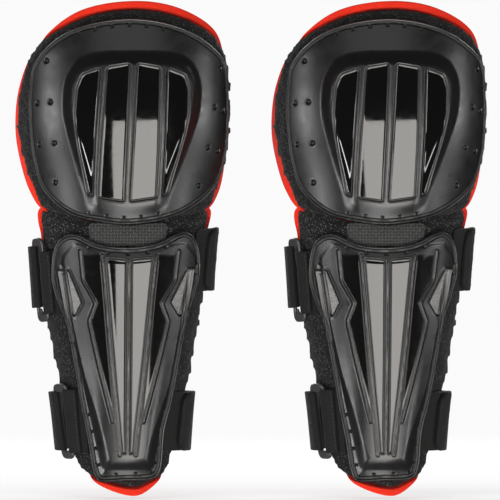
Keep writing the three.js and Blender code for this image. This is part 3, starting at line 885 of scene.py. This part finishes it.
def lining(outline, pad_outline, name, body, node):
    grid = Grid(outline, LINER[1] + BORDER_LIFT, 130, 130)
    lift = border_lift(pad_outline.unrolled(PAD_TOP), grid.flat)
    lift += 0.35 * ripple(grid.flat, 26, 5) * smoothstep(grid.from_edge, 8, 24)
    seam = 0.7 * ridge(grid.from_edge, SEAM_FROM_EDGE, 1.6)
    half = (LINER[1] - LINER[0]) / 2 * rounded_edge(grid.from_edge, 1.3)
    middle = (LINER[0] + LINER[1]) / 2 + lift
    shape = Shape()
    inner = np.maximum(middle - half + seam, 0)
    thin_shell(shape, rolled(grid.flat, middle + half), rolled(grid.flat, inner))
    pieces = dress(name, shape.mesh(name, RED_LINING), body, [node])
    declare_sheet(pieces, grid.flat)
    line = drawn_in(outline.unrolled(LINER[1] + BORDER_LIFT), SEAM_FROM_EDGE)
    rest = border_lift(pad_outline.unrolled(PAD_TOP), line) + LINER[0] + 0.25
    seams = Shape()
    add_stitches(seams, rolled(line, rest), -outwards_at(line), *LINING_THREAD)
    dress(f"{name}_stitches", seams.mesh(f"{name}_stitches", RED_LINING), body)


def declare_sheet(pieces, flat):
    """Works out a sheet's flat size from its unrolled size, and keeps it nowhere."""
    width, length = np.ptp(flat[..., 0]) * MM, np.ptp(flat[..., 1]) * MM


def puffed(points, faces):
    """The pad's cover, filled a little by pressure in a cloth simulation."""
    mesh = bpy.data.meshes.new("pad")
    mesh.from_pydata((points * MM).tolist(), [], faces)
    pad = bpy.data.objects.new("pad", mesh)
    bpy.context.scene.collection.objects.link(pad)
    remesh = pad.modifiers.new("remesh", "REMESH")
    remesh.mode = "VOXEL"
    remesh.voxel_size = PAD_VOXEL * MM
    settled = baked(pad)
    rest = points_of(settled)
    pad.modifiers.clear()
    pad.data = settled
    cloth = pad.modifiers.new("cloth", "CLOTH")
    cloth.settings.use_pressure = True
    cloth.settings.uniform_pressure_force = PAD_PRESSURE
    cloth.settings.effector_weights.gravity = 0
    for frame_number in range(1, PAD_FRAMES + 1):
        bpy.context.scene.frame_set(frame_number)
    blown = points_of(baked(pad))
    move = blown - rest
    far = np.linalg.norm(move, axis=1, keepdims=True)
    rest = rest + move * np.minimum(1, PAD_MOVES_AT_MOST / np.maximum(far, 1e-9))
    bpy.context.scene.frame_set(1)
    settled.vertices.foreach_set("co", (rest * MM).astype(np.float32).ravel())
    pad.modifiers.clear()
    pad.data = settled
    smooth = pad.modifiers.new("smooth", "SMOOTH")
    smooth.factor, smooth.iterations = 0.5, 4
    finer = pad.modifiers.new("finer", "SUBSURF")
    finer.levels = finer.render_levels = 1
    final = baked(pad)
    bpy.data.objects.remove(pad)
    return points_of(final), [list(face.vertices) for face in final.polygons]


def baked(obj):
    """The object's mesh with its modifiers applied."""
    graph = bpy.context.evaluated_depsgraph_get()
    return bpy.data.meshes.new_from_object(obj.evaluated_get(graph))


def points_of(mesh):
    points = np.empty(len(mesh.vertices) * 3, np.float32)
    mesh.vertices.foreach_get("co", points)
    return points.reshape(-1, 3).astype(float) / MM


def offset_of(points):
    """How far points are from the leg, along their own direction from its axis."""
    flat = plan(points)
    angle = flat[:, 0] / (half_width(flat[:, 1]) + UNROLLED_AT)
    on, one_up = on_leg(angle, points[:, 2], 0), on_leg(angle, points[:, 2], 1)
    outwards = one_up - on
    return np.einsum("ij,ij->i", points - on, outwards) / np.einsum("ij,ij->i", outwards, outwards), flat


def padded_cover(outline, name, body, nodes, seed):
    """A foam pad in its knitted cover, between the lining and the plate."""
    grid = Grid(outline, PAD_TOP - 1.7, 90, 90)
    low = LINER[1] + 0.5 + border_lift(outline.unrolled(PAD_TOP), grid.flat)
    round_edge = rounded_edge(grid.from_edge, 4)
    top = low + 1.2 + (PAD_TOP - 0.8 - low) * round_edge
    shape = Shape()
    thin_shell(shape, rolled(grid.flat, np.minimum(top, PAD_TOP - 0.4)), rolled(grid.flat, low))
    points, faces = puffed(np.concatenate(shape.points), shape.faces)
    offset, flat = offset_of(points)
    outer = smoothstep(offset, 6.5, 9.5)
    pucker = 0.35 * ripple(flat, 17, seed) + 0.18 * ripple(flat, 6, seed + 1)
    highest = np.where(near_strap(flat), PAD_TOP + 0.6, 13.4)
    wanted = np.clip(offset + outer * (0.5 + pucker), None, highest)
    lifted = np.where(offset > 5, wanted, offset)
    final = Shape()
    angle = flat[:, 0] / (half_width(flat[:, 1]) + UNROLLED_AT)
    final.add(on_leg(angle, points[:, 2], lifted), faces)
    pieces = dress(name, final.mesh(name, PAD_MESH, 180), body, nodes)


def near_strap(flat):
    """Where a strap or keeper lies on the shin pad."""
    degrees = np.degrees(flat[:, 0] / (half_width(flat[:, 1]) + UNROLLED_AT))
    beside = np.zeros(len(flat), bool)
    for strap in STRAPS.values():
        level = np.abs(flat[:, 1] - strap["middle"]) < strap["height"] / 2 + 12
        beside |= level & ((degrees > strap["strap_from"] - 3) | (degrees < strap["keeper_from"] + 8))
    return beside


# Two points across the bridge, at its shin end and at its knee end.
ACROSS_BEND = [[0, -60, -13], [0, -60, 9.5]]


def bridge():
    """The stretch mesh, its woven patch and its lining, which lie between the two parts."""
    grid = Grid(Outline(BRIDGE_OUTLINE), BRIDGE_TOP, 150, 46)
    ends = smoothstep(np.minimum(grid.z + 17, 21 - grid.z), 0, 9)
    crown = smoothstep(grid.from_edge, 0, 6)
    top = 8.4 + (BRIDGE_TOP - 8.4) * crown * (0.55 + 0.45 * ends)
    top += crown * (0.3 * ripple(grid.flat * [1, 2.2], 16, 21) + 0.15 * ripple(grid.flat, 5, 22))
    shape = Shape()
    thin_shell(shape, rolled(grid.flat, top), rolled(grid.flat, top - 1.4))
    bend = ("{side}_knee", *ACROSS_BEND)
    mesh = shape.mesh("bridge_mesh", BRIDGE_MESH)
    declare_sheet(dress("bridge_mesh", mesh, "shins", ["flex_bridge"], bend), grid.flat)

    patch = Outline(PATCH_OUTLINE)
    grid = Grid(patch, PATCH_TOP, 80, 26)
    top = PATCH_TOP - 0.6 * (1 - rounded_edge(grid.from_edge, 1.2)) - 0.35 * ridge(grid.from_edge, 2.2, 1.1)
    top += 0.12 * ripple(grid.flat, 12, 23)
    shape = Shape()
    thin_shell(shape, rolled(grid.flat, top), rolled(grid.flat, np.full_like(top, BRIDGE_TOP - 0.2)))
    mesh = shape.mesh("bridge_weave", PATCH_WEAVE)
    declare_sheet(dress("bridge_weave", mesh, "shins", ["bridge_patch"], bend), grid.flat)
    seams = Shape()
    line = drawn_in(patch.unrolled(PATCH_TOP), 2.2)
    add_stitches(seams, rolled(line, PATCH_TOP - 0.1), outwards_at(line), *PATCH_THREAD)
    mesh = seams.mesh("bridge_weave_stitches", THREAD)
    dress("bridge_weave_stitches", mesh, "shins", bend=bend)

    grid = Grid(Outline(BRIDGE_LINING_OUTLINE), LINER[1] + BORDER_LIFT, 130, 40)
    lift = 5.4 * (1 - smoothstep(grid.from_edge, 0.5, 7)) + 0.3 * ripple(grid.flat, 14, 24)
    half = (LINER[1] - LINER[0]) / 2 * rounded_edge(grid.from_edge, 1.2)
    shape = Shape()
    thin_shell(shape, rolled(grid.flat, 1.2 + lift + half), rolled(grid.flat, 1.2 + lift - half))
    mesh = shape.mesh("bridge_lining", RED_LINING)
    declare_sheet(dress("bridge_lining", mesh, "shins", ["flex_lining"], bend), grid.flat)


# ---- Straps: drawn in plan as [distance round the leg, offset], then stood up along the leg ----
def per_degree(strap):
    return math.radians(half_width(strap["middle"]) + LOOP_MIDDLE)


def strap_point(strap, arc, z, offset):
    """A strap follows the pad's taper in front, and less of it where it leaves the pad."""
    angle = np.radians(arc / per_degree(strap))
    climb = strap["rise"] * (half_width(z) + offset) * np.sin(angle)
    free = 1 - smoothstep(np.cos(angle), 0.1, 0.5)
    taper = half_width(z + climb) - half_width(strap["middle"])
    return on_leg(angle, z + climb, offset - 0.6 * free * taper)


def round_leg(strap, start, end, lift=0.0):
    """The strap's middle between two directions round the leg, or a layer lifted off it."""
    beside = strap["beside_leg"]
    angles = [strap["strap_from"], strap["pad_edge"], 90, 120, 180, 240, 270, 360 + strap["rear_bar"]]
    offsets = [WEB_ON_PAD, WEB_ON_PAD, beside, 6, 4.5, 6, beside, WEB_ON_PAD]
    at = np.linspace(start, end, max(4, round((end - start) * 1.2)))
    return [[a * per_degree(strap), through(angles, offsets, a) + lift] for a in at]


def round_bar(arc, towards, half_turns):
    """A web's middle where it is folded round a bar of the loop."""
    at = np.linspace(0, math.pi * half_turns, round(14 * half_turns) + 1)
    return [
        [arc + towards * TURN_RADIUS * math.sin(turn), LOOP_MIDDLE - TURN_RADIUS * math.cos(turn)]
        for turn in at
    ]


def web(shape, strap, line, thickness, height, drop=0.0, step=1.3, wave=0.0, seed=1, padding=None, corner=0):
    """A band of webbing with rounded selvages; returns its length.

    Padding is extra thickness at each distance along it, and corner the radius of the two corners
    at its start.
    """
    line = np.array(line, float)
    length = np.linalg.norm(np.diff(line, axis=0), axis=1).sum()
    line = resampled(line, max(6, round(length / step)))
    along = np.gradient(line, axis=0)
    along /= np.linalg.norm(along, axis=1, keepdims=True)
    outwards = np.stack([-along[:, 1], along[:, 0]], -1)
    travelled = np.linspace(0, length, len(line))
    edge = np.linspace(0, 2.4, 7)
    share = np.concatenate([edge, np.linspace(2.4, height - 2.4, 22)[1:-1], height - edge[::-1]])
    travelled, share = np.meshgrid(travelled, share)
    short = np.clip(corner - travelled, 0, None)
    narrower = corner - np.sqrt(corner**2 - short**2)
    z = strap["middle"] - drop + (share - height / 2) * (1 - 2 * narrower / height)
    selvage = np.minimum(share, height - share)
    half = thickness / 2 * rounded_edge(selvage, 1.0)
    extra = 0.0 if padding is None else padding(travelled, selvage)
    flat = np.stack([travelled, z], -1)
    bend = wave * ripple(flat * [1, 0.4], 38, seed)

    def face(side):
        away = side * half + bend + (extra if side > 0 else 0)
        at = line[None] + outwards[None] * away[..., None]
        return strap_point(strap, at[..., 0], z, at[..., 1])

    fuzzy = np.zeros_like(travelled) if padding is None else smoothstep(extra, 0.3, 1.2)
    thin_shell(shape, face(1), face(-1), flat=flat, fuzzy=fuzzy)
    return length


def rows_of_thread(shape, strap, arcs, offset, height, drop=0.0):
    """Stitching across a web, from one selvage to the other."""
    for arc in arcs:
        z = strap["middle"] - drop + np.linspace(-0.5, 0.5, 40) * (height - 5)
        line = strap_point(strap, np.full_like(z, arc), z, np.full_like(z, offset))
        up = strap_point(strap, np.full_like(z, arc), z, np.full_like(z, offset + 1)) - line
        add_stitches(shape, line, up, *STRAP_THREAD)


def tab_padding(travelled, selvage):
    """The tab's end is thick, rounded and fuzzy."""
    thick = 2.1 * (1 - smoothstep(travelled, 13, 18)) * rounded_edge(travelled + 0.2, 4)
    nap = 0.16 * ripple(np.stack([travelled, selvage], -1), 1.7, 41)
    return thick * rounded_edge(selvage + 0.1, 4) * (1 + nap)


def strap_pieces(level, strap):
    degree = per_degree(strap)
    rear, front = strap["rear_bar"] * degree, strap["front_bar"] * degree
    rear_all_round = rear + 360 * degree
    outer_side = LOOP_MIDDLE + TURN_RADIUS
    height, keeper_height, keeper_drop = strap["height"], strap["keeper_height"], strap["keeper_drop"]

    band = round_leg(strap, strap["strap_from"], 356 + strap["rear_bar"])
    band += round_bar(rear_all_round, 1, 1)
    band += [[rear_all_round - 7, outer_side - 0.3]]
    band += round_leg(strap, strap["tab_root"] - 0.5, 272, RETURN_LIFT)[::-1]
    shape = Shape()
    length = web(shape, strap, band, WEB_THICKNESS, height, wave=0.25, seed=31)
    name = f"{level}_band"
    mesh = shape.mesh(name, ELASTIC_WEB)
    pieces = dress(name, mesh, "shins", [f"{level}_strap", f"{level}_return"])

    tab = round_leg(strap, strap["tab_from"], strap["tab_root"] + 0.4, RETURN_LIFT)
    shape = Shape()
    length = web(shape, strap, tab, WEB_THICKNESS, height + 0.6, step=0.7, padding=tab_padding, corner=11)
    before = strap_point(strap, (strap["tab_root"] - 4.5) * degree, strap["middle"], 10)
    after = strap_point(strap, (strap["tab_root"] + 4.5) * degree, strap["middle"], 10)
    name = f"{level}_tab_end"
    bend = (f"{{side}}_{level}_tab", after.tolist(), before.tolist())
    pieces = dress(name, shape.mesh(name, ELASTIC_WEB), "shins", [f"{level}_tab"], bend)

    shape = Shape()
    hooks = round_leg(strap, strap["hook_from"], strap["hook_to"], HOOK_LIFT)
    web(shape, strap, hooks, 1.2, height - 6, step=1.0)
    name = f"{level}_hook_tape"
    dress(name, shape.mesh(name, HOOK_TAPE), f"{{side}}_{level}_tab", [f"{level}_hook"])

    fold = [[strap["keeper_from"] * degree, WEB_ON_PAD]]
    fold += [[(strap["keeper_from"] + strap["front_bar"]) / 2 * degree, WEB_ON_PAD]]
    fold += round_bar(front, -1, 1)
    fold += [[front + 4, outer_side - 0.9], [front + 9, WEB_ON_PAD + WEB_THICKNESS + 1.2]]
    shape = Shape()
    length = web(shape, strap, fold, WEB_THICKNESS, keeper_height, keeper_drop, step=0.9, wave=0.08)
    name = f"{level}_keeper_band"
    pieces = dress(name, shape.mesh(name, ELASTIC_WEB), "shins", [f"{level}_keeper"])

    seams = Shape()
    rows_of_thread(seams, strap, [front + 6.2, front + 8.2], WEB_ON_PAD + 3.9, keeper_height, keeper_drop)
    rows_of_thread(seams, strap, [rear_all_round - 3.2], outer_side + 0.55, height)
    name = f"{level}_strap_stitches"
    dress(name, seams.mesh(name, THREAD), "shins")
    loop_ring(level, strap, front, rear)


def loop_ring(level, strap, front, rear):
    """A tall moulded ring of rounded section."""
    across, tall = (front - rear) / 2, strap["loop_height"] / 2 - 3.6
    middle = [(front + rear) / 2, strap["middle"] - strap["keeper_drop"] / 2]
    corner = 4.4
    quarter = np.linspace(0, math.pi / 2, 9)
    path = []
    for turn, (side, end) in enumerate([(1, 1), (-1, 1), (-1, -1), (1, -1)]):
        angle = quarter + turn * math.pi / 2
        x = side * (across - corner) + corner * np.cos(angle)
        path += zip(x, end * (tall - corner) + corner * np.sin(angle))
    path = resampled(np.array([*path, path[0]]), 161)[:-1]
    along = np.roll(path, -1, axis=0) - np.roll(path, 1, axis=0)
    along /= np.linalg.norm(along, axis=1, keepdims=True)
    outwards = np.stack([along[:, 1], -along[:, 0]], -1)
    turn = np.linspace(0, 2 * math.pi, 16, endpoint=False)
    at_end = smoothstep(np.abs(path[:, 1]), tall - 4, tall)
    at_rear_foot = smoothstep(-path[:, 1], tall - 4, tall) * smoothstep(-path[:, 0], -1, across / 2)
    gusset = at_rear_foot * strap["keeper_drop"]
    wide = (1.6 + 2.0 * at_end)[:, None] * np.sign(np.cos(turn)) * np.abs(np.cos(turn)) ** 0.7
    wide -= 0.75 * gusset[:, None] * np.clip(-np.cos(turn), 0, None)
    thick = 1.5 * np.sign(np.sin(turn)) * np.abs(np.sin(turn)) ** 0.7
    at = path[:, None] + outwards[:, None] * wide[..., None] + middle
    points = strap_point(strap, at[..., 0], at[..., 1], LOOP_MIDDLE + thick[None])
    index = np.arange(points.shape[0] * points.shape[1]).reshape(points.shape[:2])
    index = np.concatenate([index, index[:1]])
    index = np.concatenate([index, index[:, :1]], axis=1)
    shape = Shape()
    shape.add(points, quads(index), at.reshape(-1, 2))
    name = f"{level}_ring"
    dress(name, shape.mesh(name, LOOP_PLASTIC), "shins", [f"{level}_loop"])


# ---- The guard ----
knee_liner, shin_liner = Outline(KNEE_LINER_OUTLINE), Outline(SHIN_LINER_OUTLINE)
knee_pad, shin_pad = knee_liner.inset(KNEE_PAD_BORDER), shin_liner.inset(SHIN_PAD_BORDER)
lining(knee_liner.inset(KNEE_LINING_BORDER), knee_pad, "knee_lining", "{side}_knee", "knee_liner")
lining(shin_liner.inset(SHIN_LINING_BORDER), shin_pad, "shin_lining", "shins", "shin_liner")
padded_cover(knee_pad, "knee_pad", "{side}_knee", ["knee_cover", "knee_foam"], 11)
padded_cover(shin_pad, "shin_pad", "shins", ["shin_cover", "shin_foam"], 13)
bridge()
knee_cup()
shin_plate()
ribbed_inserts()
for level, strap in STRAPS.items():
    strap_pieces(level, strap)


# ---- Camera, light and stage ----
scene = bpy.context.scene
scene.view_settings.view_transform = "Standard"

BOTH = ("diffuse", "glossy")

camera = bpy.data.objects.new("camera", bpy.data.cameras.new("camera"))
camera.data.lens, camera.data.sensor_width = 500, 36
camera.data.clip_end = 60
camera.location = (-0.0064, -5.93, -0.01275)
camera.rotation_euler = (math.pi / 2, 0, 0)
scene.collection.objects.link(camera)
scene.camera = camera


def softbox(name, azimuth, elevation, away, width, height, power, lights=BOTH, tint=(1, 1, 1)):
    """A lit panel that faces the guards. Azimuth is from the front, towards +X.

    A panel can light only rough surfaces (diffuse) or only be mirrored in polished ones (glossy).
    """
    light = bpy.data.lights.new(name, "AREA")
    light.shape, light.size, light.size_y, light.energy = "RECTANGLE", width, height, power
    light.color = tint
    lamp = bpy.data.objects.new(name, light)
    a, e = math.radians(azimuth), math.radians(elevation)
    direction = Vector((math.sin(a) * math.cos(e), -math.cos(a) * math.cos(e), math.sin(e)))
    lamp.location = away * direction
    lamp.rotation_euler = (-Vector(lamp.location)).to_track_quat("-Z", "Y").to_euler()
    lamp.visible_camera = False
    lamp.visible_diffuse = "diffuse" in lights
    lamp.visible_glossy = "glossy" in lights
    scene.collection.objects.link(lamp)


def glowing(name, near, far, diffuse):
    """A pale stage material that glows a little near the guards and more further away."""
    material = bpy.data.materials.new(name)
    material.use_nodes = True
    nodes, links = material.node_tree.nodes, material.node_tree.links
    shader = nodes["Principled BSDF"]
    shader.inputs["Roughness"].default_value = 1.0
    shader.inputs["Specular IOR Level"].default_value = 0.0
    shader.inputs["Emission Color"].default_value = (1, 1, 1, 1)
    place, length = nodes.new("ShaderNodeNewGeometry"), nodes.new("ShaderNodeVectorMath")
    length.operation = "LENGTH"
    links.new(place.outputs["Position"], length.inputs[0])
    for socket, start, end in (("Emission Strength", near, far), ("Base Color", diffuse, 0)):
        fade = nodes.new("ShaderNodeMapRange")
        fade.interpolation_type = "SMOOTHSTEP"
        for i, value in zip((1, 2, 3, 4), (0.5, 2.2, start, end)):
            fade.inputs[i].default_value = value
        links.new(length.outputs["Value"], fade.inputs[0])
        links.new(fade.outputs[0], shader.inputs[socket])
    return material


def stage_piece(name, build, material, **size):
    mesh = bpy.data.meshes.new(name)
    shape = bmesh.new()
    build(shape, **size)
    shape.to_mesh(mesh)
    shape.free()
    mesh.shade_smooth()
    mesh.materials.append(material)
    piece = bpy.data.objects.new(name, mesh)
    scene.collection.objects.link(piece)
    return piece


floor_pale = glowing("floor_pale", 0.6, 0.96, 0.4)
floor = stage_piece("floor", bmesh.ops.create_circle, floor_pale, cap_ends=True, segments=96, radius=14)
floor.location.z = -0.2235
floor.visible_glossy = False
floor.visible_shadow = False
backdrop_pale = glowing("backdrop_pale", 0.96, 0.96, 0)
dome = stage_piece("backdrop", bmesh.ops.create_icosphere, backdrop_pale, subdivisions=5, radius=14.5)
for ray in ("diffuse", "glossy", "transmission", "shadow"):
    setattr(dome, f"visible_{ray}", False)

world = bpy.data.worlds.new("studio")
world.use_nodes = True
world.node_tree.nodes["Background"].inputs["Color"].default_value = grey(0.06)
scene.world = world

softbox("panel_card", 10.5, -11, 3.0, 2.25, 1.95, 115, ["glossy"], (1, 0.965, 0.92))
softbox("top_card", 0, 34, 2.8, 2.4, 0.8, 7, ["glossy"])
softbox("low_card", 0, -40, 2.8, 1.6, 0.8, 24, ["glossy"])
softbox("side_left", -61, 7, 2.5, 0.5, 0.8, 16.5)
softbox("side_right", 66, 7, 2.5, 0.5, 0.8, 14)
softbox("shin_left", -56, -20, 2.6, 0.5, 0.6, 20)
softbox("shin_right", 56, -20, 2.6, 0.5, 0.6, 12)
softbox("key", -12, 55, 2.8, 1.8, 1.2, 30, ["diffuse"])
softbox("front_low", -10, -38, 2.8, 1.8, 1.0, 66, ["diffuse"])
softbox("rear_left", -150, 25, 2.8, 1.2, 1.2, 40)
softbox("rear_right", 150, 25, 2.8, 1.2, 1.2, 40)
